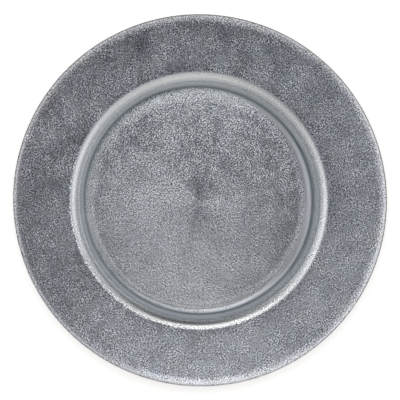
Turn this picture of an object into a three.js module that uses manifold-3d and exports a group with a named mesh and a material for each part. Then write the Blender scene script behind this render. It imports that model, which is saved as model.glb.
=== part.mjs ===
// Charger plate of clear pressed glass, leafed with silver on its underside and sealed with lacquer.
// Millimetres, +Z up, with the origin at the centre of the flat underside.
import * as THREE from 'three';
import { mergeVertices } from 'three/addons/utils/BufferGeometryUtils.js';
import Module from 'manifold-3d';

const wasm = await Module();
wasm.setup();

// Glass: radii and lengths are those of its top surface
const PLATE_DIAMETER = 330;
const FLOOR_RADIUS = 93.3;
const GLASS_THICKNESS = 5;
const COVE_RADIUS = 8;
const WALL_DEGREES = 48;
const WALL_LENGTH = 7;
const SHOULDER_RADIUS = 16;
const RIM_DEGREES = 5;
const ROLL_RADIUS = 14;
const NOSE_RADIUS = 1.5;
const NOSE_SHARE_LIMIT = 0.45;

// Layers under the glass: a film of adhesive holds the leaf, and a film of primer lies under it
const FILM_THICKNESS = 0.05;
const LEAF_THICKNESS = 0.2;
const LACQUER_THICKNESS = 0.3;

// Leaf sheets: the rim sheets run in over the floor by their lap, and a seam gap parts all sheets
const RIM_SHEETS = 10;
const WELL_SHEETS = 4;
const FLOOR_LAP = 18;
const SEAM_GAP = 0.3;

// Lacquer lip that seals the leaf's outer edge, set back a little from the centre of the glass's nose
const LIP_WIDTH = 0.5;
const LIP_SETBACK = 0.2;

// Facets round the axis, and steps along each arc of the section
const FACETS = 60;
const COVE_STEPS = 4;
const SHOULDER_STEPS = 4;
const ROLL_STEPS = 3;
const NOSE_STEPS = 4;
const SHEET_ARC_STEPS = 15;
const MERGE_DISTANCE = 1e-4;

// Depths of the layers below the glass's top surface; the deepest is the plate's flat underside
const LEAF_TOP = GLASS_THICKNESS + FILM_THICKNESS;
const LEAF_UNDERSIDE = LEAF_TOP + LEAF_THICKNESS;
const LACQUER_TOP = LEAF_UNDERSIDE + FILM_THICKNESS;
const LACQUER_UNDERSIDE = LACQUER_TOP + LACQUER_THICKNESS;

// Directions along the wall and the rim in the (radius, height) plane, and square to them
const QUARTER_TURN = Math.PI / 2;
const WALL_ANGLE = THREE.MathUtils.degToRad(WALL_DEGREES);
const RIM_ANGLE = THREE.MathUtils.degToRad(RIM_DEGREES);
const direction = (angle) => new THREE.Vector2(Math.cos(angle), Math.sin(angle));
const wallAlong = direction(WALL_ANGLE);
const wallNormal = direction(WALL_ANGLE + QUARTER_TURN);
const rimAlong = direction(RIM_ANGLE);
const rimNormal = direction(RIM_ANGLE + QUARTER_TURN);

// Centres of the cove, which turns the floor up into the wall, and of the shoulder above the wall
const coveCentre = new THREE.Vector2(FLOOR_RADIUS, LACQUER_UNDERSIDE + COVE_RADIUS);
const shoulderCentre = coveCentre
  .clone()
  .addScaledVector(wallAlong, WALL_LENGTH)
  .addScaledVector(wallNormal, -COVE_RADIUS - SHOULDER_RADIUS);

// The rim's edge: a wide roll turns its top surface down into a small round nose, which also meets the
// underside. The nose rounds no more than a limited share of the glass's thickness, and its outermost
// point is the plate's edge.
const noseRadius = Math.min(NOSE_RADIUS, NOSE_SHARE_LIMIT * GLASS_THICKNESS);
const noseReach = Math.sqrt((GLASS_THICKNESS - 2 * noseRadius) * (2 * ROLL_RADIUS - GLASS_THICKNESS));
const rollTurn = Math.acos((ROLL_RADIUS - GLASS_THICKNESS + noseRadius) / (ROLL_RADIUS - noseRadius));
const noseLine = shoulderCentre
  .clone()
  .addScaledVector(rimNormal, SHOULDER_RADIUS - GLASS_THICKNESS + noseRadius);
const noseCentre = noseLine
  .clone()
  .addScaledVector(rimAlong, (PLATE_DIAMETER / 2 - noseRadius - noseLine.x) / rimAlong.x);
const rollCentre = noseCentre
  .clone()
  .addScaledVector(rimAlong, -noseReach)
  .addScaledVector(rimNormal, GLASS_THICKNESS - noseRadius - ROLL_RADIUS);

// Points on an arc about a centre, from one angle to another, with both ends
function arc(centre, radius, from, to, steps) {
  return Array.from({ length: steps + 1 }, (_, step) => {
    const angle = from + ((to - from) * step) / steps;
    return centre.clone().addScaledVector(direction(angle), radius);
  });
}

// Point under the rim at a depth below its top surface, set back along the rim from the nose's centre
function rimPoint(depth, setback) {
  return noseCentre
    .clone()
    .addScaledVector(rimNormal, GLASS_THICKNESS - noseRadius - depth)
    .addScaledVector(rimAlong, -setback);
}

// Section curve parallel to the glass's top surface at a depth below it, from a radius on the floor out to
// a setback on the rim. The arcs keep their centres, so only their radii change with the depth.
function layerCurve(depth, startRadius, setback) {
  return [
    new THREE.Vector2(startRadius, LACQUER_UNDERSIDE - depth),
    ...arc(coveCentre, COVE_RADIUS + depth, -QUARTER_TURN, WALL_ANGLE - QUARTER_TURN, COVE_STEPS),
    ...arc(
      shoulderCentre,
      SHOULDER_RADIUS - depth,
      WALL_ANGLE + QUARTER_TURN,
      RIM_ANGLE + QUARTER_TURN,
      SHOULDER_STEPS,
    ),
    rimPoint(depth, setback),
  ];
}

// Body turned about the Z axis, begun half a facet round so that the leaf's seams fall within facets
function turned(outline) {
  return new THREE.LatheGeometry(outline, FACETS, Math.PI / FACETS).rotateX(QUARTER_TURN);
}

// Closed mesh as a solid that can be cut
function solidOf(geometry) {
  geometry.deleteAttribute('normal');
  geometry.deleteAttribute('uv');
  const merged = mergeVertices(geometry, MERGE_DISTANCE);
  const mesh = new wasm.Mesh({
    numProp: 3,
    vertProperties: new Float32Array(merged.attributes.position.array),
    triVerts: new Uint32Array(merged.index.array),
  });
  return new wasm.Manifold(mesh);
}

// Solid as a mesh again
function geometryOf(solid) {
  const mesh = solid.getMesh();
  const geometry = new THREE.BufferGeometry();
  geometry.setAttribute('position', new THREE.BufferAttribute(mesh.vertProperties, 3));
  geometry.setIndex(new THREE.BufferAttribute(mesh.triVerts, 1));
  geometry.computeVertexNormals();
  return geometry;
}

// Clear glass body: underside outward, round the nose, back over the roll and the top surface to the axis
function glassPlate() {
  const noseTop = RIM_ANGLE + QUARTER_TURN - rollTurn;
  const underside = layerCurve(GLASS_THICKNESS, 0, 0);
  const nose = arc(noseCentre, noseRadius, RIM_ANGLE - QUARTER_TURN, noseTop, NOSE_STEPS);
  const roll = arc(rollCentre, ROLL_RADIUS, noseTop, RIM_ANGLE + QUARTER_TURN, ROLL_STEPS);
  const top = layerCurve(0, 0, noseReach).reverse();
  return turned([...underside, ...nose.slice(1), ...roll.slice(1), ...top.slice(1)]);
}

// Radius of the seam between the rim sheets and the well sheets
const seamRadius = FLOOR_RADIUS - FLOOR_LAP;

// Ring of leaf under the floor's margin, wall and rim, before it is parted into sheets
function rimLeafRing() {
  const setback = LIP_SETBACK + LIP_WIDTH + SEAM_GAP;
  const start = seamRadius + SEAM_GAP / 2;
  const underside = layerCurve(LEAF_UNDERSIDE, start, setback);
  const top = layerCurve(LEAF_TOP, start, setback).reverse();
  return solidOf(turned([...underside, ...top, underside[0]]));
}

// Point of a sheet's wedge on its middle line, from which its sides run half a seam gap inside the seams
const wedgePoint = (count) => SEAM_GAP / 2 / Math.sin(Math.PI / count);

// Wedge from the axis that holds one of a number of equal sheets, above and below the plate
function sheetWedge(index, count) {
  const halfAngle = Math.PI / count;
  const point = wedgePoint(count);
  const halfWidth = PLATE_DIAMETER * Math.tan(halfAngle);
  const outline = new THREE.Shape();
  outline.moveTo(point, 0);
  outline.lineTo(point + PLATE_DIAMETER, -halfWidth);
  outline.lineTo(point + PLATE_DIAMETER, halfWidth);
  const wedge = new THREE.ExtrudeGeometry(outline, { depth: PLATE_DIAMETER, bevelEnabled: false });
  wedge.translate(0, 0, -PLATE_DIAMETER / 2);
  return wedge.rotateZ((2 * index + 1) * halfAngle);
}

// One leaf sheet of the rim
function rimLeaf(ring, index) {
  return geometryOf(ring.intersect(solidOf(sheetWedge(index, RIM_SHEETS))));
}

// One leaf sheet of the well: a flat sector under the floor
function wellLeaf(index) {
  const halfAngle = Math.PI / WELL_SHEETS;
  const radius = seamRadius - SEAM_GAP / 2;
  const halfSweep = halfAngle - Math.asin(SEAM_GAP / 2 / radius);
  const outline = new THREE.Shape();
  outline.moveTo(wedgePoint(WELL_SHEETS), 0);
  outline.absarc(0, 0, radius, -halfSweep, halfSweep, false);
  const sheet = new THREE.ExtrudeGeometry(outline, {
    depth: LEAF_THICKNESS,
    bevelEnabled: false,
    curveSegments: SHEET_ARC_STEPS,
  });
  sheet.translate(0, 0, LACQUER_UNDERSIDE - LEAF_UNDERSIDE);
  return sheet.rotateZ((2 * index + 1) * halfAngle);
}

// Lacquer coat under the leaf, with a lip that rises past the leaf's edge to the glass
function backingLacquer() {
  const lipInside = LIP_SETBACK + LIP_WIDTH;
  return turned([
    ...layerCurve(LACQUER_UNDERSIDE, 0, LIP_SETBACK),
    rimPoint(LEAF_TOP, LIP_SETBACK),
    rimPoint(LEAF_TOP, lipInside),
    ...layerCurve(LACQUER_TOP, 0, lipInside).reverse(),
  ]);
}

const plate = new THREE.Group();

function addPiece(name, geometry, finish) {
  const mesh = new THREE.Mesh(geometry, new THREE.MeshStandardMaterial(finish));
  mesh.name = name;
  plate.add(mesh);
}

const CLEAR_GLASS = { color: '#d3dfe0', roughness: 0.04, metalness: 0, transparent: true, opacity: 0.35 };
const SILVER_LEAF = { color: '#9da1a6', roughness: 0.35, metalness: 0.9 };
const SEALING_LACQUER = { color: '#5b5753', roughness: 0.45, metalness: 0 };

addPiece('glass_plate', glassPlate(), CLEAR_GLASS);
const leafRing = rimLeafRing();
for (let sheet = 0; sheet < RIM_SHEETS; sheet += 1) {
  addPiece(`rim_leaf_${String(sheet + 1).padStart(2, '0')}`, rimLeaf(leafRing, sheet), SILVER_LEAF);
}
for (let sheet = 0; sheet < WELL_SHEETS; sheet += 1) {
  addPiece(`well_leaf_${sheet + 1}`, wellLeaf(sheet), SILVER_LEAF);
}
addPiece('backing_lacquer', backingLacquer(), SEALING_LACQUER);

export default plate;
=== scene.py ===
# Charger plate of clear glass, leafed with silver on its underside and sealed with lacquer, in metres.
import math

import bpy
import numpy as np
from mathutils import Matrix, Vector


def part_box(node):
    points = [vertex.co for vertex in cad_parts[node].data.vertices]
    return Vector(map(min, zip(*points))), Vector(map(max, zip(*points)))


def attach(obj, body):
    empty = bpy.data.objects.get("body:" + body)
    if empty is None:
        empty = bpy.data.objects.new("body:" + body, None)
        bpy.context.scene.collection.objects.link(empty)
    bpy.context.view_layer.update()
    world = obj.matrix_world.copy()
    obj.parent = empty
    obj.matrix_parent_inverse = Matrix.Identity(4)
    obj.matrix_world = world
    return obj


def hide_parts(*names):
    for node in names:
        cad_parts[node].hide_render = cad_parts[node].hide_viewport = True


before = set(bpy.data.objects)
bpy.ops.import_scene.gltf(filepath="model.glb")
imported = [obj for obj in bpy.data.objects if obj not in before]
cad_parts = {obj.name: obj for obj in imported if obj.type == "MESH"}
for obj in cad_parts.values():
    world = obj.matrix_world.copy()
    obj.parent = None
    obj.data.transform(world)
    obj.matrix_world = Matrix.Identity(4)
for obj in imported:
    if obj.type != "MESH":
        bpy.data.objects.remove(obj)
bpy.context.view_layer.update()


# Glass plate
# One pressing of clear soda-lime glass, fire polished: a flat well, a cove and a wall round it, a rounded
# shoulder, a wide rim that climbs a little, and an edge that rolls down into a round nose.
PLATE_RADIUS = 0.165
FLOOR_RADIUS = 0.0933
GLASS_THICKNESS = 0.005
COVE_RADIUS = 0.008
WALL_SLOPE = math.radians(48)
WALL_LENGTH = 0.007
SHOULDER_RADIUS = 0.016
RIM_SLOPE = math.radians(5)
ROLL_RADIUS = 0.014
NOSE_RADIUS = 0.0015
ROLL_TURN = math.acos((ROLL_RADIUS - GLASS_THICKNESS + NOSE_RADIUS) / (ROLL_RADIUS - NOSE_RADIUS))
NOSE_REACH = math.sqrt((GLASS_THICKNESS - 2 * NOSE_RADIUS) * (2 * ROLL_RADIUS - GLASS_THICKNESS))
FLOOR_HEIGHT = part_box("glass_plate")[0].z + GLASS_THICKNESS
GLASS_FACETS = 288
TOP_STEPS = (16, 14, 8, 16, 16, 12, 14)
UNDERSIDE_STEPS = (16, 14, 8, 16, 20)
TRACE_POINTS = 20001
SHARP_ANGLE = math.radians(40)
GLASS_INDEX = 1.52
GLASS_TINT = (0.52, 0.80, 0.84, 1)
GLASS_DENSITY = 28.0
GLASS_POLISH = 0.012
WIPE_MARKS = 0.02
WIPE_MARK_SCALE = 26.0


def section_stations(rim_length):
    """Distances from the axis along the glass's top surface and round its nose at which the slope's change
    begins or ends: floor, cove, wall, shoulder, rim, roll and nose."""
    runs = (
        FLOOR_RADIUS,
        COVE_RADIUS * WALL_SLOPE,
        WALL_LENGTH,
        SHOULDER_RADIUS * (WALL_SLOPE - RIM_SLOPE),
        rim_length,
        ROLL_RADIUS * ROLL_TURN,
        NOSE_RADIUS * (math.pi - ROLL_TURN),
    )
    return np.concatenate([[0], np.cumsum(runs)])


STATION_SLOPES = np.array(
    [0, 0, WALL_SLOPE, WALL_SLOPE, RIM_SLOPE, RIM_SLOPE, RIM_SLOPE - ROLL_TURN, RIM_SLOPE - math.pi]
)


def trace_section(stations):
    """The section as arrays of distance, slope, radius and height: the slope changes evenly between the
    stations, which makes straight runs and arcs, and radius and height are running sums of its cosine and
    sine over small steps."""
    distance = np.linspace(0, stations[-1], TRACE_POINTS)
    slope = np.interp(distance, stations, STATION_SLOPES)
    middle = (slope[1:] + slope[:-1]) / 2
    step = distance[1]
    radius = np.concatenate([[0], np.cumsum(np.cos(middle)) * step])
    height = np.concatenate([[0], np.cumsum(np.sin(middle)) * step]) + FLOOR_HEIGHT
    return distance, slope, radius, height


reach_without_rim = trace_section(section_stations(0))[2].max()
STATIONS = section_stations((PLATE_RADIUS - reach_without_rim) / math.cos(RIM_SLOPE))
FLOOR_END, COVE_END, WALL_END, SHOULDER_END, RIM_END = STATIONS[1:6]
UNDERSIDE_END = RIM_END + NOSE_REACH
DISTANCES, SLOPES, RADII, HEIGHTS = trace_section(STATIONS)


def section(distance, depth=0.0):
    """Radius and height of points at a distance along the top surface and a depth square below it. Past the
    rim's straight run, a point below the surface goes on along the rim's own line."""
    on_rim = np.minimum(distance, RIM_END) if np.any(depth) else distance
    past = distance - on_rim
    slope = np.interp(on_rim, DISTANCES, SLOPES)
    radius = np.interp(on_rim, DISTANCES, RADII) + depth * np.sin(slope) + past * np.cos(slope)
    height = np.interp(on_rim, DISTANCES, HEIGHTS) - depth * np.cos(slope) + past * np.sin(slope)
    return radius, height


def spread(ends, counts):
    """Distances along consecutive runs, closer together towards the ends of each run: every run from one
    end to the next takes its share t to t * t * (3 - 2 * t)."""
    share = [np.linspace(0, 1, count, endpoint=False) for count in counts]
    runs = [a + (b - a) * t * t * (3 - 2 * t) for a, b, t in zip(ends[:-1], ends[1:], share)]
    return np.concatenate([*runs, [ends[-1]]])


def add_piece(name, points, faces):
    """A smooth-shaded object at the origin from an array of points and a list of faces."""
    mesh = bpy.data.meshes.new(name)
    mesh.from_pydata(points.tolist(), [], faces)
    mesh.shade_smooth()
    mesh.set_sharp_from_angle(angle=SHARP_ANGLE)
    piece = bpy.data.objects.new(name, mesh)
    bpy.context.scene.collection.objects.link(piece)
    return piece


def turned(name, radius, height, facets):
    """Closed body turned about the Z axis: rings, given by their radius and height, that start and end on
    the axis, with one point at each pole, quads between neighbouring rings and triangles at the poles."""
    angle = np.arange(facets) * 2 * math.pi / facets
    rings = np.stack([radius * np.cos(angle), radius * np.sin(angle), height + 0 * angle], axis=-1)
    count = len(rings) - 2
    points = np.vstack([rings[1:-1].reshape(-1, 3), rings[0, :1], rings[-1, :1]])
    here = np.arange(facets)
    after = np.roll(here, -1)
    base = np.arange(count - 1)[:, None] * facets
    quads = np.stack([base + here, base + facets + here, base + facets + after, base + after], axis=-1)
    first = np.stack([np.full(facets, count * facets), here, after], axis=-1)
    last_ring = (count - 1) * facets
    last = np.stack([last_ring + here, np.full(facets, count * facets + 1), last_ring + after], axis=-1)
    return add_piece(name, points, quads.reshape(-1, 4).tolist() + first.tolist() + last.tolist())


def glass_outline():
    """The glass's profile from the axis over its top surface, round the nose and back along the underside,
    which lies a glass's thickness below the top surface."""
    over = section(spread(STATIONS, TOP_STEPS))
    under = section(spread([*STATIONS[:5], UNDERSIDE_END], UNDERSIDE_STEPS), GLASS_THICKNESS)
    return [np.concatenate([a, b[-2::-1]])[:, None] for a, b in zip(over, under)]


class Tone:
    """A value, colour or vector on its way through a finish's nodes. Operators on it add Math nodes, and
    the node method adds any other node."""

    def __init__(self, tree, socket):
        self.tree = tree
        self.socket = socket

    def node(self, kind, settings=None, inputs=None, output=0):
        """A new node's output: its settings are set first, with a colour ramp's stops as (place, colour)
        pairs, and then its sockets get their values or links."""
        made = self.tree.nodes.new(kind)
        for name, value in (settings or {}).items():
            if name == "stops":
                ramp = made.color_ramp
                while len(ramp.elements) < len(value):
                    ramp.elements.new(1)
                for element, (place, colour) in zip(ramp.elements, value):
                    element.position = place
                    element.color = (*colour, 1)
            else:
                setattr(made, name, value)
        for name, value in (inputs or {}).items():
            if isinstance(value, Tone):
                self.tree.links.new(value.socket, made.inputs[name])
            else:
                made.inputs[name].default_value = value
        return Tone(self.tree, made.outputs[output])

    def math(self, operation, *values):
        """A Math node's output."""
        return self.node("ShaderNodeMath", {"operation": operation}, dict(enumerate(values)))

    def __add__(self, other):
        return self.math("ADD", self, other)

    def __sub__(self, other):
        return self.math("SUBTRACT", self, other)

    def __rsub__(self, other):
        return self.math("SUBTRACT", other, self)

    def __mul__(self, other):
        return self.math("MULTIPLY", self, other)

    __radd__ = __add__
    __rmul__ = __mul__


def new_finish(name):
    """A new material, its shader node, and a Tone that starts expressions in it."""
    material = bpy.data.materials.new(name)
    material.use_nodes = True
    shader = material.node_tree.nodes["Principled BSDF"]
    return material, shader, Tone(material.node_tree, shader.outputs[0])


def set_sockets(shader, **values):
    """Sets a shader's sockets, named with underscores for spaces, to plain values or links."""
    for name, value in values.items():
        socket = shader.inputs[name.replace("_", " ")]
        if isinstance(value, Tone):
            value.tree.links.new(value.socket, socket)
        else:
            socket.default_value = value


def noise(place, scale, detail, dimensions="3D"):
    """Soft random values about a half, with so many cells to the metre and so many finer layers in them."""
    inputs = {"Vector": place, "Scale": scale, "Detail": detail}
    return place.node("ShaderNodeTexNoise", {"noise_dimensions": dimensions}, inputs)


def clear_glass_finish():
    """Clear glass with a faint blue-green absorption along each ray's way through it, and a polish that has
    fine wipe marks."""
    material, shader, start = new_finish("clear_glass")
    smear = noise(start.node("ShaderNodeTexCoord", output="Object"), WIPE_MARK_SCALE, 4.0)
    set_sockets(shader, Base_Color=(1, 1, 1, 1), Transmission_Weight=1.0, IOR=GLASS_INDEX)
    set_sockets(shader, Roughness=GLASS_POLISH + WIPE_MARKS * smear)
    tinting = {"Color": GLASS_TINT, "Density": GLASS_DENSITY}
    absorption = start.node("ShaderNodeVolumeAbsorption", inputs=tinting)
    start.tree.links.new(absorption.socket, start.tree.nodes["Material Output"].inputs["Volume"])
    return material


glass_plate = turned("glass_plate_pressing", *glass_outline(), GLASS_FACETS)
glass_plate.data.materials.append(clear_glass_finish())
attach(glass_plate, "root")
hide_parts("glass_plate")


# Rim leaf
# Ten sheets of thin silver-coloured metal leaf, laid from below on wet size so that they show through the
# glass. Every second sheet is laid first, the others lap behind it, and all have torn edges.
RIM_SHEETS = 10
SHEET_ANGLE = 2 * math.pi / RIM_SHEETS
RIM_SHEET_GRID = (180, 130)
LAP = 0.0045
LEAF_SEAM_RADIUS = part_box("well_leaf_1")[1].x
LEAF_UNDERSIDE_DEPTH = FLOOR_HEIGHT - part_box("well_leaf_1")[0].z
# The sheets' faces lie just inside the glass, so that no film of air shows between them
FRONT_SHEET_DEPTH = 0.00484
BACK_SHEET_DEPTH = 0.00489
# Trimmed and torn edges and crinkles are sums of waves
WAVES = 28
EDGE_OVERLAP = 0.00021
TRIMMED_EDGE = 0.00003
TRIM_SEED = 7
TRIM_TURNS = (70, 420)
TORN_EDGE = 0.0003
TEAR_LENGTHS = (0.002, 0.012)
CRINKLE_HEIGHT = 0.000005
CRINKLE_LENGTHS = (0.0012, 0.003)
# The turn from floor to rim: its share of a sheet's rows, and how far off centre the lines of its painted
# highlights and shade run there
TURN_ENDS = (COVE_END - 0.01, SHOULDER_END + 0.002)
TURN_ROWS = (0.2, 0.65)
COVE_SHIFT = (0.0016, -0.0002)
SHOULDER_SHIFT = (0.001, 0.0006)
SHOULDER_SKEW = -0.0004
# Where the grain fades, and its strokes, flakes and clouds, whose scales are cells to the metre
GRAIN_FADE = COVE_END - 0.011
RIGHT_FADE = 0.0045
FAR_START = -0.03
FAR_WIDTH = 0.08
NEAR_LEFT_START = 0.0008
SMOOTH_GRAIN = 0.04
FAR_STROKES = math.radians(44)
NEAR_STROKES = math.radians(147)
STROKE_SCALE = 740.0
STROKE_STRETCH = 2.3
SMALL_FLAKE_SCALE = 1300.0
SMALL_FLAKE_TURN = 0.45
LARGE_FLAKE_SCALE = 850.0
LARGE_FLAKE_TURN = 1.1
CLUSTER_SCALE = 110.0
STREAK_SCALE = 700.0
STREAK_CIRCLES = (0.006, 0.006, 0.1, 0.137)
WIDE_CLOUD_SCALE = 45.0
SMALL_CLOUD_SCALE = 270.0
PATCH_SCALE = 70.0
RELIEF_SCALE = 1500.0
RELIEF_HEIGHT = 0.00006
# Tones and colours
RIM_TONES = (1.01, 0.98, 1.02, 0.97, 1.01, 0.98, 1.02, 1.0, 0.97, 1.02)
BOW_TIE_HIGHLIGHT_RADIUS = 0.022
LEAF_SHADE = (0.0185, 0.0195, 0.026, 1)
WARM_LEAF = (1.05, 0.96, 0.98, 1)
COOL_LEAF = (0.93, 0.96, 1.145, 1)
WARMER = (0.02, 0.01, -0.04)
GREENER = (0, 0.012, 0)
# Colour, place and widths of the painted shade in the crease
CREASE_SHADE_COLOUR = (0.125, 0.172, 0.19, 1)
CREASE_SHADE_OFFSET = 0.0004
CREASE_SHADE_WIDTHS = (0.001, 0.0016)


def waves(seed, lengths, across, along):
    """A random field with a mean of 0 and a spread of 1: the sum of plane waves, each with its own length,
    direction and phase, over places given by two distances."""
    draw = np.random.default_rng(seed)
    number = 2 * math.pi / draw.uniform(*lengths, WAVES)
    heading = draw.uniform(0, 2 * math.pi, WAVES)
    phase = draw.uniform(0, 2 * math.pi, WAVES)
    travel = across[..., None] * np.cos(heading) + along[..., None] * np.sin(heading)
    return np.sin(travel * number + phase).sum(axis=-1) / math.sqrt(WAVES / 2)


def shell(name, front, back):
    """Closed thin sheet between two grids of points: the front's quads, the back's quads turned over, and a
    strip of quads round their common edge."""
    rows, columns = front.shape[:2]
    index = np.arange(rows * columns).reshape(rows, columns)
    corners = [index[:-1, :-1], index[1:, :-1], index[1:, 1:], index[:-1, 1:]]
    quads = np.stack(corners, axis=-1).reshape(-1, 4)
    edge = np.concatenate([index[:-1, 0], index[-1, :-1], index[:0:-1, -1], index[0, :0:-1]])
    ahead = np.roll(edge, -1)
    behind = rows * columns
    strip = np.stack([ahead, edge, edge + behind, ahead + behind], axis=-1)
    faces = np.vstack([quads, quads[:, ::-1] + behind, strip])
    return add_piece(name, np.vstack([front.reshape(-1, 3), back.reshape(-1, 3)]), faces.tolist())


def shifted_distance(distance, angle):
    """Distance along the section, shifted between floor and rim so that the lines of the cove and the
    shoulder, painted highlights and shade among them, run about points a little left of the axis: the cove's
    and the shoulder's own shifts fade in and out along the section, and the shoulder's has a slant besides."""
    east, north = np.cos(angle), np.sin(angle)
    in_cove = COVE_SHIFT[0] * east + COVE_SHIFT[1] * north
    in_shoulder = SHOULDER_SHIFT[0] * east + SHOULDER_SHIFT[1] * north + SHOULDER_SKEW * 2 * east * north
    turn = [FLOOR_END, COVE_END + 0.002, WALL_END + 0.002, SHOULDER_END]
    stations = [FLOOR_END - 0.01, *turn, SHOULDER_END + 0.01]
    cove_share = np.interp(distance, stations, [0, 1, 1, 0, 0, 0])
    shoulder_share = np.interp(distance, stations, [0, 0, 0, 1, 1, 0])
    return distance + in_cove * cove_share + in_shoulder * shoulder_share


def leaf_grain(distance, angle):
    """How much grain shows, as three shares: fine specks, and slanting strokes on the floor's far half and
    on its near half. The floor's specks are weaker on its near half, and all its grain fades towards the
    crease, sooner on the right. Little shows on the wall and shoulder, where the leaf is drawn tight. The
    rim's specks are weaker to the right and towards the near side, and at the near left they begin on the
    shoulder."""
    east, north = np.cos(angle), np.sin(angle)
    near_left = np.maximum(-east - north, 0)
    place = shifted_distance(distance, angle)
    fading = [GRAIN_FADE, COVE_END - 0.001, COVE_END]
    floor = np.interp(place + RIGHT_FADE * np.maximum(east, 0), fading, [1, 0.5, 0])
    far = np.clip((distance * north - FAR_START) / FAR_WIDTH, 0, 1)
    rim_start = [SHOULDER_END - 0.0001, SHOULDER_END + 0.0006]
    stations = [*rim_start, SHOULDER_END + 0.006, RIM_END + 0.004, UNDERSIDE_END]
    rim = np.interp(place + NEAR_LEFT_START * near_left ** 2, stations, [0, 1.06, 0.81, 0.81, 0.4])
    rim = rim * (0.99 - 0.14 * east + 0.14 * north)
    on_shoulder = np.interp(place, [WALL_END, WALL_END + 0.004, *rim_start], [0, 1, 1, 0])
    shoulder = on_shoulder * (0.06 + 0.06 * (east - north) + 0.07 * near_left)
    past_floor = (1 - floor) * (place > GRAIN_FADE)
    specks = floor * (0.75 + 1.3 * far) + (rim + SMOOTH_GRAIN + shoulder) * past_floor
    return np.stack([specks, floor * far, 0.5 * floor * (1 - far)], axis=-1)


def light_and_dark_patches(distance, angle):
    """Lighter and darker patches: bell curves, each about its own place east and north of the axis, with its
    own size and amount. The two brighter ones just east and west of the floor's centre are painted
    highlights, part of the bow-tie."""
    marks = (
        (-0.0510, 0.134, 0.0075, -0.40),
        (0.1230, 0.008, 0.0070, -0.28),
        (0.1390, 0.038, 0.0065, -0.28),
        (-0.1245, 0.009, 0.0065, -0.25),
        (-0.1540, -0.009, 0.0045, -0.30),
        (-0.1060, -0.055, 0.0060, -0.28),
        # Painted highlights: the two brighter patches either side of the floor's centre, part of the
        # bow-tie.
        (0.0165, 0.000, 0.0045, 0.50),
        (-0.0370, 0.000, 0.0130, 0.20),
        (0.0000, 0.052, 0.0180, -0.21),
        (0.0400, 0.040, 0.0170, -0.13),
        (0.0770, 0.000, 0.0090, -0.26),
        (-0.0520, 0.052, 0.0170, -0.22),
        (-0.0520, -0.052, 0.0140, -0.14),
        (0.0600, -0.060, 0.0120, 0.20),
        (-0.1080, 0.110, 0.0110, 0.15),
        (0.0940, -0.092, 0.0120, 0.12),
    )
    radius = section(distance)[0]
    east, north = radius * np.cos(angle), radius * np.sin(angle)
    return sum(a * np.exp(-((east - x) ** 2 + (north - y) ** 2) / size ** 2) for x, y, size, a in marks)


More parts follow.
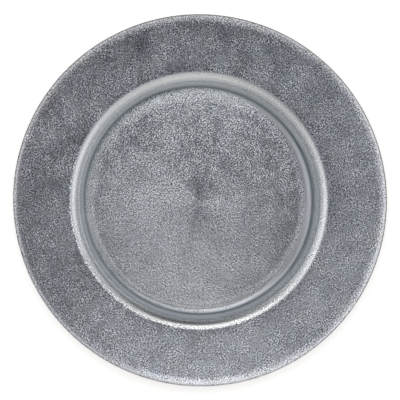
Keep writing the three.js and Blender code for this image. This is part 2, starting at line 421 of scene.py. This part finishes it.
def leaf_tone_and_painted_light(distance, angle):
    """How light the leaf is, with painted light and shade in it: at each named place along the section a
    mean and a few waves round the plate, with straight runs between the places, times the lighter and darker
    patches. The floor is lighter to the left and towards the near side, which is painted light, with a
    painted bow-tie highlight about its centre. The cove ends in a painted highlight line, the shoulder's
    tones paint its highlight and the shade beside it, and the roll and edge carry a painted bright band. The
    rim is darkest next to the shoulder."""
    east, north = np.cos(angle), np.sin(angle)
    near = np.maximum(-north, 0) ** 6
    nearest = np.maximum(-north, 0) ** 10
    near_left = np.maximum(-east - north, 0) ** 4
    near_right = np.maximum(east - north, 0) ** 4
    twofold = np.cos(2 * angle)
    slanted = np.sin(2 * angle)
    threefold = np.sin(3 * angle)
    fourfold = np.cos(4 * angle)
    reach = distance / FLOOR_END
    across, along = reach * east, reach * north
    # Painted highlight: a bow-tie of light about the floor's centre.
    bow_tie_highlight = (across ** 2 - along ** 2) / (across ** 2 + along ** 2 + 0.005)
    middle = (0.2 * bow_tie_highlight - 0.085) * np.exp(-((distance / BOW_TIE_HIGHLIGHT_RADIUS) ** 2))
    sides = 0.04 * along ** 4 - 0.15 * across ** 4 + 0.08 * across * along - 0.4 * (across * along) ** 2
    floor = 0.375 - (0.055 * east + 0.115 * north) * np.sin(2.2 * reach) + sides + middle
    floor_edge = 0.44 + 0.02 * east - 0.05 * north - 0.12 * twofold - 0.03 * slanted + 0.05 * fourfold
    cove_start = (
        0.45 + 0.06 * east + 0.18 * north - 0.2 * twofold - 0.05 * slanted
        - 0.13 * threefold + 0.09 * fourfold - 0.06 * near
    )
    cove = (
        0.49 - 0.06 * east + 0.23 * north - 0.16 * twofold
        - 0.11 * threefold + 0.1 * fourfold - 0.22 * near
    )
    # Painted highlight: a bright line at the end of the cove.
    cove_highlight_rise = 0.6 - 0.21 * east - 0.04 * north - 0.22 * twofold + 0.11 * threefold + 0.17 * fourfold
    cove_highlight = (
        0.75 - 0.38 * east - 0.15 * north - 0.08 * twofold
        + 0.15 * threefold + 0.1 * fourfold + 0.012 * near_right
    )
    crease = 0.57 - 0.04 * east - 0.12 * north + 0.025 * near_right
    wall = 0.57 - 0.07 * east - 0.07 * north + 0.04 * twofold
    wall_end = 0.63 - 0.11 * east + 0.05 * twofold - 0.03 * slanted
    # The shoulder's tones paint the strength of its highlight, and the dark band inside it on the near side
    # is painted shade.
    shoulder_start = 0.48 + 0.1 * north + 0.05 * twofold - 0.05 * slanted - 0.04 * threefold
    shoulder = (
        0.53 + 0.02 * east + 0.16 * north + 0.09 * twofold - 0.1 * slanted - 0.1 * threefold
        - 0.015 * near_left + 0.02 * near_right - 0.12 * near
    )
    shoulder_middle = (
        0.46 - 0.04 * east + 0.09 * north - 0.05 * slanted + 0.05 * fourfold
        - 0.03 * near_left + 0.015 * near_right + 0.06 * near
    )
    shoulder_end = 0.66 - 0.12 * east - 0.17 * twofold + 0.07 * slanted
    rim_start = 0.222 + 0.03 * east
    near_rim = 0.282 + 0.05 * east - 0.017 * twofold
    far_rim = 0.274 + 0.055 * east - 0.075 * north - 0.02 * twofold + 0.03 * threefold - 0.006 * near_left
    # Painted highlight: the bright band along the roll and the edge.
    roll = (
        (0.345 + 0.15 * east + 0.03 * north - 0.07 * twofold) * (0.94 + 0.12 * fourfold)
        + 0.35 * nearest
    )
    edge = 0.9 + 0.12 * east + 0.3 * nearest - 0.05 * near_left
    turn = {
        FLOOR_END - 0.0053: floor,
        FLOOR_END - 0.0013: floor_edge,
        COVE_END - 0.006: cove_start,
        COVE_END - 0.004: cove,
        COVE_END - 0.003: cove_highlight_rise,
        COVE_END - 0.002: cove_highlight,
        COVE_END: crease,
        COVE_END + 0.004: wall,
        WALL_END - 0.0008: wall_end,
        WALL_END + 0.0016: shoulder_start,
        WALL_END + 0.0055: shoulder,
        WALL_END + 0.008: shoulder_middle,
        SHOULDER_END - 0.0006: shoulder_end,
        SHOULDER_END + 0.0006: rim_start,
        SHOULDER_END + 0.01: near_rim,
        RIM_END: far_rim,
        RIM_END + 0.0045: roll,
        RIM_END + 0.006: edge,
    }
    place = shifted_distance(distance, angle)
    shares = np.eye(len(turn))
    tone = sum(value * np.interp(place, list(turn), share) for value, share in zip(turn.values(), shares))
    return tone * (1 + light_and_dark_patches(distance, angle))


def painted_crease_shade(distance, angle):
    """How much painted shade, a dark blue-green, shows in the crease at the end of the cove: a bell curve,
    narrower on the floor's side, and a little stronger at the far right."""
    east, north = np.cos(angle), np.sin(angle)
    offset = shifted_distance(distance, angle) - COVE_END - CREASE_SHADE_OFFSET
    width = np.where(offset < 0, *CREASE_SHADE_WIDTHS)
    return (0.7 + 0.05 * east + 0.06 * north) * np.exp(-((offset / width) ** 2))


def leaf_and_light_tint(distance, angle):
    """The leaf's tint as shares of red, green and blue, partly painted light: warm on the floor's near half,
    a little greener on the wall, and warm on the wall's far side and on the shoulder's far and near sides.
    The shoulder's warmth paints the warm colour of its highlight."""
    east, north = np.cos(angle), np.sin(angle)
    place = shifted_distance(distance, angle)
    on_floor = np.interp(place, [COVE_END - 0.004, COVE_END], [1, 0])
    on_wall = np.interp(place, [COVE_END, COVE_END + 0.002, WALL_END, WALL_END + 0.003], [0, 1, 1, 0])
    shoulder_ends = [WALL_END, WALL_END + 0.003, SHOULDER_END, SHOULDER_END + 0.001]
    on_shoulder = np.interp(place, shoulder_ends, [0, 1, 1, 0])
    floor_warmth = 0.3 - 0.55 * distance / FLOOR_END * north
    wall_warmth = 0.6 + 0.45 * north
    shoulder_warmth = 1.1 - 0.45 * np.cos(2 * angle) + 0.15 * east
    warmth = on_floor * floor_warmth + on_wall * wall_warmth + on_shoulder * shoulder_warmth
    return 1 + warmth[..., None] * WARMER + on_wall[..., None] * GREENER


def leaf_roughness(distance, angle):
    """How matt the leaf is: most where it is grainy, least on the shoulder, where it is drawn tight."""
    shoulder_ends = [WALL_END, SHOULDER_END - 0.0001, SHOULDER_END + 0.0006]
    stations = [FLOOR_END, COVE_END, *shoulder_ends, RIM_END, UNDERSIDE_END]
    return np.interp(shifted_distance(distance, angle), stations, [0.3, 0.34, 0.24, 0.17, 0.3, 0.3, 0.4])


def grain_place(distance, angle):
    """Place in the streaks, in metres: the distance along the section and a circle that is small where the
    streaks are drawn out round the plate, and almost as wide as the plate where they are even."""
    stations = [FLOOR_END, WALL_END, SHOULDER_END - 0.001, RIM_END]
    circle = np.interp(distance, stations, STREAK_CIRCLES)
    return np.stack([distance, circle * np.cos(angle), circle * np.sin(angle)], axis=-1)


def add_leaf_marks(sheet, distance, angle, sheet_tone):
    """Stores the leaf's marks on the mesh, painted light and shade among them, for front and back alike."""
    vectors = {
        "place": grain_place(distance, angle),
        "grain": leaf_grain(distance, angle),
        "tint": leaf_and_light_tint(distance, angle),
    }
    for name, values in vectors.items():
        marks = sheet.data.attributes.new(name, "FLOAT_VECTOR", "POINT")
        marks.data.foreach_set("vector", np.tile(values.reshape(-1, 3), (2, 1)).ravel())
    numbers = {
        "tone": leaf_tone_and_painted_light(distance, angle) * sheet_tone,
        "tarnish": painted_crease_shade(distance, angle),
        "roughness": leaf_roughness(distance, angle),
    }
    for name, values in numbers.items():
        marks = sheet.data.attributes.new(name, "FLOAT", "POINT")
        marks.data.foreach_set("value", np.tile(values.ravel(), 2))


def blend(factor, first, second):
    """A colour between a first and a second, by a factor from 0 to 1."""
    inputs = {"Factor": factor, 6: first, 7: second}
    return factor.node("ShaderNodeMix", {"data_type": "RGBA"}, inputs, output=2)


def silver_leaf_finish():
    """Metal leaf that has dried into flakes and strokes about a millimetre wide, each lighter or darker than
    its neighbours, with clusters of strong and weak ones, and with streaks where the leaf is smooth. Over
    them lie wide and small clouds, patches of warmer and cooler tint on the rim, and painted shade in the
    crease; the stored tone and tint carry painted highlights and shade by place. A fine relief goes with the
    specks."""
    material, shader, start = new_finish("silver_leaf")
    where = start.node("ShaderNodeTexCoord", output="Object")

    def mark(name, output="Fac"):
        """What the mesh stores under a name."""
        return start.node("ShaderNodeAttribute", {"attribute_name": name}, output=output)

    def uneven(scale, detail, place=where):
        """Noise about 0."""
        return noise(place, scale, detail) - 0.5

    def strokes(scale, direction, stretch):
        """Noise about 0 on the flat, drawn out in one direction."""
        stretched = start.node(
            "ShaderNodeMapping",
            {"vector_type": "TEXTURE"},
            {"Vector": where, "Rotation": (0, 0, direction), "Scale": (stretch, 1, 1)},
        )
        return noise(stretched, scale, 0.0, "2D") - 0.5

    shares = mark("grain", "Vector")
    specks, far, near = [
        start.node("ShaderNodeSeparateXYZ", inputs={0: shares}, output=axis) for axis in range(3)
    ]
    far_strokes = strokes(STROKE_SCALE, FAR_STROKES, STROKE_STRETCH)
    near_strokes = strokes(STROKE_SCALE, NEAR_STROKES, STROKE_STRETCH)
    small_flakes = strokes(SMALL_FLAKE_SCALE, SMALL_FLAKE_TURN, 1.0)
    large_flakes = strokes(LARGE_FLAKE_SCALE, LARGE_FLAKE_TURN, 1.0)
    flakes = 5.9 * small_flakes + (3.7 - 5.7 * near - 1.1 * far) * large_flakes
    grain = specks * flakes + 2.1 * (far * far_strokes + near * near_strokes)
    streaks = 0.2 * (1 - specks) * uneven(STREAK_SCALE, 1.0, mark("place", "Vector"))
    clusters = start.math("MAXIMUM", 1 + 3.5 * uneven(CLUSTER_SCALE, 2.0), 0.25)
    on_rim = start.math("MAXIMUM", specks - 1.5 * far - near, 0.0)
    wide_clouds = (0.95 + 0.6 * on_rim - 0.65 * far) * uneven(WIDE_CLOUD_SCALE, 5.0)
    small_clouds = (0.5 + 0.8 * on_rim - 0.4 * far) * uneven(SMALL_CLOUD_SCALE, 1.5)
    clouds = 1 + specks * (wide_clouds + small_clouds)
    # The stored tone holds painted highlights and shade besides the leaf's own tone.
    light = mark("tone") * (1 + grain * clusters + streaks) * clouds
    patches = blend(0.5 + on_rim * uneven(PATCH_SCALE, 2.0), WARM_LEAF, COOL_LEAF)
    tints = {0: patches, 1: mark("tint", "Vector")}
    tint = start.node("ShaderNodeVectorMath", {"operation": "MULTIPLY"}, tints)
    silver = blend(light, LEAF_SHADE, tint)
    # Painted shade: the crease's dark blue-green line.
    colour = blend(mark("tarnish"), silver, CREASE_SHADE_COLOUR)
    roughening = {"Height": noise(where, RELIEF_SCALE, 2.0) * specks, "Distance": RELIEF_HEIGHT}
    relief = start.node("ShaderNodeBump", inputs=roughening)
    set_sockets(shader, Base_Color=colour, Metallic=1.0, Roughness=mark("roughness"), Normal=relief)
    return material


leaf_finish = silver_leaf_finish()


def leaf_edge(angle):
    """Distance along the section at which the leaf's outer edge lies, trimmed just past the middle of the
    glass's nose: it strays by a sum of waves with whole numbers of turns."""
    draw = np.random.default_rng(TRIM_SEED)
    turns = draw.integers(*TRIM_TURNS, WAVES)
    phase = draw.uniform(0, 2 * math.pi, WAVES)
    stray = np.sin(angle[..., None] * turns + phase).sum(axis=-1) / math.sqrt(WAVES / 2)
    return UNDERSIDE_END + EDGE_OVERLAP + TRIMMED_EDGE * stray


def torn(seed, along):
    """How far a torn edge strays, along its length: a sum of waves as long as the tears."""
    return TORN_EDGE * waves(seed, TEAR_LENGTHS, along, 0 * along)


def rim_sheet(number):
    """One sheet of rim leaf on a grid of angle and of distance from its inner to its outer edge, with more
    rows in the turn: its depth is its layer's plus the crinkle, and its straight sides stray by the torn
    edge."""
    laid_first = number % 2 == 0
    seed = 10 * number
    start = LEAF_SEAM_RADIUS
    length = UNDERSIDE_END - start
    turn_shares = [(end - start) / length for end in TURN_ENDS]
    steps = [np.linspace(0, 1, count) for count in RIM_SHEET_GRID]
    out, round_share = np.meshgrid(*steps, indexing="ij")
    out = np.interp(out, [0, *TURN_ROWS, 1], [0, *turn_shares, 1])
    edge = start + length * out[:, :1]
    reach = section(edge, GLASS_THICKNESS)[0]
    lap = 0 if laid_first else LAP
    low = number * SHEET_ANGLE + (torn(seed, edge) - lap) / reach
    high = (number + 1) * SHEET_ANGLE + (torn(seed + 1, edge) + lap) / reach
    angle = low + (high - low) * round_share
    inner = start + torn(seed + 2, angle * start)
    distance = inner + (leaf_edge(angle) - inner) * out
    crinkle = waves(seed + 3, CRINKLE_LENGTHS, distance, angle * PLATE_RADIUS)
    crinkle = CRINKLE_HEIGHT * crinkle * leaf_grain(distance, angle).sum(axis=-1)
    depth = (FRONT_SHEET_DEPTH if laid_first else BACK_SHEET_DEPTH) + crinkle

    def at(depth):
        """The grid's points at a depth."""
        radius, height = section(distance, depth)
        return np.stack([radius * np.cos(angle), radius * np.sin(angle), height], axis=-1)

    sheet = shell(f"rim_leaf_sheet_{number + 1:02d}", at(depth), at(LEAF_UNDERSIDE_DEPTH + 0 * depth))
    add_leaf_marks(sheet, distance, angle, RIM_TONES[number])
    return sheet


for number in range(RIM_SHEETS):
    sheet = rim_sheet(number)
    sheet.data.materials.append(leaf_finish)
    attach(sheet, "root")
    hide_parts(f"rim_leaf_{number + 1:02d}")


# Well leaf
# Four sheets of the same leaf behind the rim sheets' inner edges, rubbed down round and round with a pad
# while the size was wet, so that their crinkles run in circles.
WELL_SHEETS = 4
WELL_SHEET_DEPTH = 0.00493
WELL_SHEET_STEP = 0.00002
WELL_SHEET_GRID = 110
WELL_TONES = (0.99, 1.01, 1.0, 0.98)
WELL_SEED = 200
WELL_CRINKLE_LENGTHS = (0.0016, 0.0034)
MOST_TURNS = 40


def circling_waves(seed, lengths, radius, angle):
    """A random field that runs in circles: the sum of waves that travel outward, each with its own length
    and a whole number of turns of phase round the axis."""
    draw = np.random.default_rng(seed)
    number = 2 * math.pi / draw.uniform(*lengths, WAVES)
    turns = draw.integers(-MOST_TURNS, MOST_TURNS + 1, WAVES)
    phase = draw.uniform(0, 2 * math.pi, WAVES)
    travel = radius[..., None] * number + angle[..., None] * turns
    return np.sin(travel + phase).sum(axis=-1) / math.sqrt(WAVES / 2)


def well_sheet(number):
    """One quarter of the well's leaf: a square grid drawn into a quarter disc, where x is u times the root
    of 1 - v * v / 2 and y is v times the root of 1 - u * u / 2, with laps past both straight sides."""
    reach = LEAF_SEAM_RADIUS + LAP
    side = np.linspace(-LAP / reach, 1, WELL_SHEET_GRID)
    u, v = np.meshgrid(side, side, indexing="ij")
    x = reach * u * np.sqrt(1 - v * v / 2)
    y = reach * v * np.sqrt(1 - u * u / 2)
    turn = number * math.pi / 2
    radius = np.hypot(x, y)
    angle = np.arctan2(y, x) + turn
    crinkle = CRINKLE_HEIGHT * circling_waves(WELL_SEED, WELL_CRINKLE_LENGTHS, radius, angle)
    depth = WELL_SHEET_DEPTH + number * WELL_SHEET_STEP + crinkle
    east = x * math.cos(turn) - y * math.sin(turn)
    north = x * math.sin(turn) + y * math.cos(turn)
    front = np.stack([east, north, FLOOR_HEIGHT - depth], axis=-1)
    back = np.stack([east, north, FLOOR_HEIGHT - LEAF_UNDERSIDE_DEPTH + 0 * depth], axis=-1)
    sheet = shell(f"well_leaf_sheet_{number + 1}", front, back)
    add_leaf_marks(sheet, radius, angle, WELL_TONES[number])
    return sheet


for number in range(WELL_SHEETS):
    sheet = well_sheet(number)
    sheet.data.materials.append(leaf_finish)
    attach(sheet, "root")
    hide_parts(f"well_leaf_{number + 1}")


# Backing lacquer
# A coat of warm grey lacquer sprayed over the leaf from below, which seals it and laps its outer edge up to
# the glass. It is the surface that the plate stands on.
LEAF_OVERLAP = 0.00002
LACQUER_TOP_DEPTH = LEAF_UNDERSIDE_DEPTH - LEAF_OVERLAP
LACQUER_UNDERSIDE_DEPTH = FLOOR_HEIGHT
LIP_DEPTH = 0.0049
LIP_WIDTH = 0.0003
LACQUER_FACETS = 720
TURN_STEPS = (10, 12, 8, 12)
RIM_STEPS = 9
PEEL_SCALE = 420.0
PEEL_HEIGHT = 0.00006
PEEL_STRENGTH = 0.6
LACQUER_SHEEN = 0.34
CLOUD_MATTING = 0.2
CLOUD_SCALE = 30.0
DARK_LACQUER = (0.13, 0.122, 0.115, 1)
LIGHT_LACQUER = (0.24, 0.228, 0.215, 1)


def lacquer_rings():
    """The lacquer's rings from the axis along its top, up and over the lip past the leaf's edge, and back
    along its underside: out to the rim they are circles, and from there they reach for the leaf's edge."""
    angle = np.arange(LACQUER_FACETS) * 2 * math.pi / LACQUER_FACETS
    inner = spread(STATIONS[:5], TURN_STEPS)
    outer = np.linspace(0, 1, RIM_STEPS + 1)[1:, None]

    def layer(depth, past_edge):
        """Radius and height of the rings at a depth, out to a distance past the leaf's edge."""
        reach = SHOULDER_END + (leaf_edge(angle) + past_edge - SHOULDER_END) * outer
        distance = np.vstack([inner[:, None] + 0 * angle, reach])
        return section(distance, depth + 0 * distance)

    top = layer(LACQUER_TOP_DEPTH, 0)
    lip = [section(leaf_edge(angle) + width, LIP_DEPTH + 0 * angle) for width in (0, LIP_WIDTH)]
    under = layer(LACQUER_UNDERSIDE_DEPTH, LIP_WIDTH)
    return [np.vstack([top[k], lip[0][k], lip[1][k], under[k][::-1]]) for k in (0, 1)]


def backing_lacquer_finish():
    """Satin lacquer with the relief of a sprayed orange peel, and clouds where its coat is lighter and more
    matt."""
    material, shader, start = new_finish("backing_lacquer")
    place = start.node("ShaderNodeTexCoord", output="Object")
    cloud = noise(place, CLOUD_SCALE, 4.0)
    peel = {"Height": noise(place, PEEL_SCALE, 2.0), "Distance": PEEL_HEIGHT, "Strength": PEEL_STRENGTH}
    relief = start.node("ShaderNodeBump", inputs=peel)
    colour = blend(cloud, DARK_LACQUER, LIGHT_LACQUER)
    set_sockets(shader, Base_Color=colour, Roughness=LACQUER_SHEEN + CLOUD_MATTING * cloud, Normal=relief)
    return material


lacquer = turned("backing_lacquer_coat", *lacquer_rings(), LACQUER_FACETS)
lacquer.data.materials.append(backing_lacquer_finish())
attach(lacquer, "root")
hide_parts("backing_lacquer")


# Table top, camera and light tent
# A white table under a tent of soft light: darker overhead, where the camera looks in, and bright round it.
# The tent's stops are degrees from its axis, which leans a little, each with the colour of its light.
FLOOR_SIZE = 12.0
FLOOR_GAP = 0.0002
FLOOR_COLOUR = (0.9, 0.9, 0.9, 1)
FLOOR_GLOW = (0.40, 0.40, 0.40, 1)
NO_GLOW = (0, 0, 0, 1)
LENS = 200.0
SENSOR = 36.0
FRAME_WIDTH = 0.3522
CAMERA_LEAN = (math.radians(-2.5), math.radians(-6.0))
AIM = (-0.00026, -0.00152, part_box("glass_plate")[1].z)
TENT_LEAN = math.radians(-3.0)
TENT_STOPS = (
    (0, (0.36, 0.37, 0.40)),
    (9, (0.37, 0.38, 0.40)),
    (14, (0.45, 0.46, 0.47)),
    (19, (0.76, 0.76, 0.76)),
    (26, (1.35, 1.32, 1.28)),
    (35, (1.68, 1.63, 1.57)),
    (45, (1.32, 1.29, 1.25)),
    (54, (0.85, 0.85, 0.84)),
    (64, (0.50, 0.50, 0.50)),
    (74, (0.25, 0.25, 0.25)),
    (90, (0.10, 0.10, 0.10)),
)
TENT_DRIFT = 0.2
TENT_SLANT = (-0.1, 0.8)
HORIZON_GLOW = 1.0
HORIZON_TOP = 0.55
HORIZON_SLANT = (0.12, 0.35)


def table_top():
    """A large flat square just under the plate, which glows a little to the camera and in reflections, so
    that it looks white there and still keeps the plate's shadow."""
    half = FLOOR_SIZE / 2
    corners = np.array([[-half, -half], [half, -half], [half, half], [-half, half]])
    points = np.column_stack([corners, np.full(4, -FLOOR_GAP)])
    table = add_piece("table_top", points, [[0, 1, 2, 3]])
    material, shader, start = new_finish("white_table")
    seen = sum(start.node("ShaderNodeLightPath", output=way) for way in ("Is Camera Ray", "Is Glossy Ray"))
    set_sockets(shader, Base_Color=FLOOR_COLOUR, Roughness=1.0)
    set_sockets(shader, Emission_Color=blend(seen, NO_GLOW, FLOOR_GLOW), Emission_Strength=1.0)
    table.data.materials.append(material)
    return table


table_top()

camera = bpy.data.objects.new("camera", bpy.data.cameras.new("camera"))
bpy.context.scene.collection.objects.link(camera)
camera.data.lens = LENS
camera.data.sensor_width = SENSOR
camera_distance = FRAME_WIDTH * LENS / SENSOR
camera.location = (
    AIM[0] + camera_distance * math.sin(CAMERA_LEAN[0]),
    AIM[1] + camera_distance * math.sin(CAMERA_LEAN[1]),
    AIM[2] + camera_distance * math.cos(CAMERA_LEAN[0]) * math.cos(CAMERA_LEAN[1]),
)
camera.rotation_euler = (-CAMERA_LEAN[1], CAMERA_LEAN[0], 0)
bpy.context.scene.camera = camera

world = bpy.data.worlds.new("light_tent")
bpy.context.scene.world = world
world.use_nodes = True
sky = world.node_tree.nodes["Background"]
start = Tone(world.node_tree, sky.outputs[0])
way = start.node("ShaderNodeTexCoord", output="Generated")
east, north, up = [start.node("ShaderNodeSeparateXYZ", inputs={0: way}, output=axis) for axis in range(3)]
along_axis = east * math.sin(TENT_LEAN) + up * math.cos(TENT_LEAN)
half_turns = start.math("ARCCOSINE", start.math("MINIMUM", along_axis, 1.0)) * (1 / math.pi)
ring = start.node(
    "ShaderNodeValToRGB",
    {"stops": [(degrees / 180, colour) for degrees, colour in TENT_STOPS]},
    {"Fac": half_turns * (1 + TENT_DRIFT * north)},
)
set_sockets(sky, Color=ring, Strength=1 + (TENT_SLANT[0] * east + TENT_SLANT[1] * north) * up)
rising = start.node(
    "ShaderNodeMapRange",
    {"interpolation_type": "SMOOTHSTEP"},
    {"Value": up, "From Min": HORIZON_TOP, "From Max": 0.0, "To Min": 0.0, "To Max": HORIZON_GLOW},
)
leaning = 1 + HORIZON_SLANT[0] * east + HORIZON_SLANT[1] * north
horizon = start.node("ShaderNodeBackground", inputs={"Color": (1, 1, 1, 1), "Strength": rising * leaning})
tent = start.node("ShaderNodeAddShader", inputs={0: start, 1: horizon})
world.node_tree.links.new(tent.socket, world.node_tree.nodes["World Output"].inputs["Surface"])

bpy.context.scene.view_settings.view_transform = "Standard"
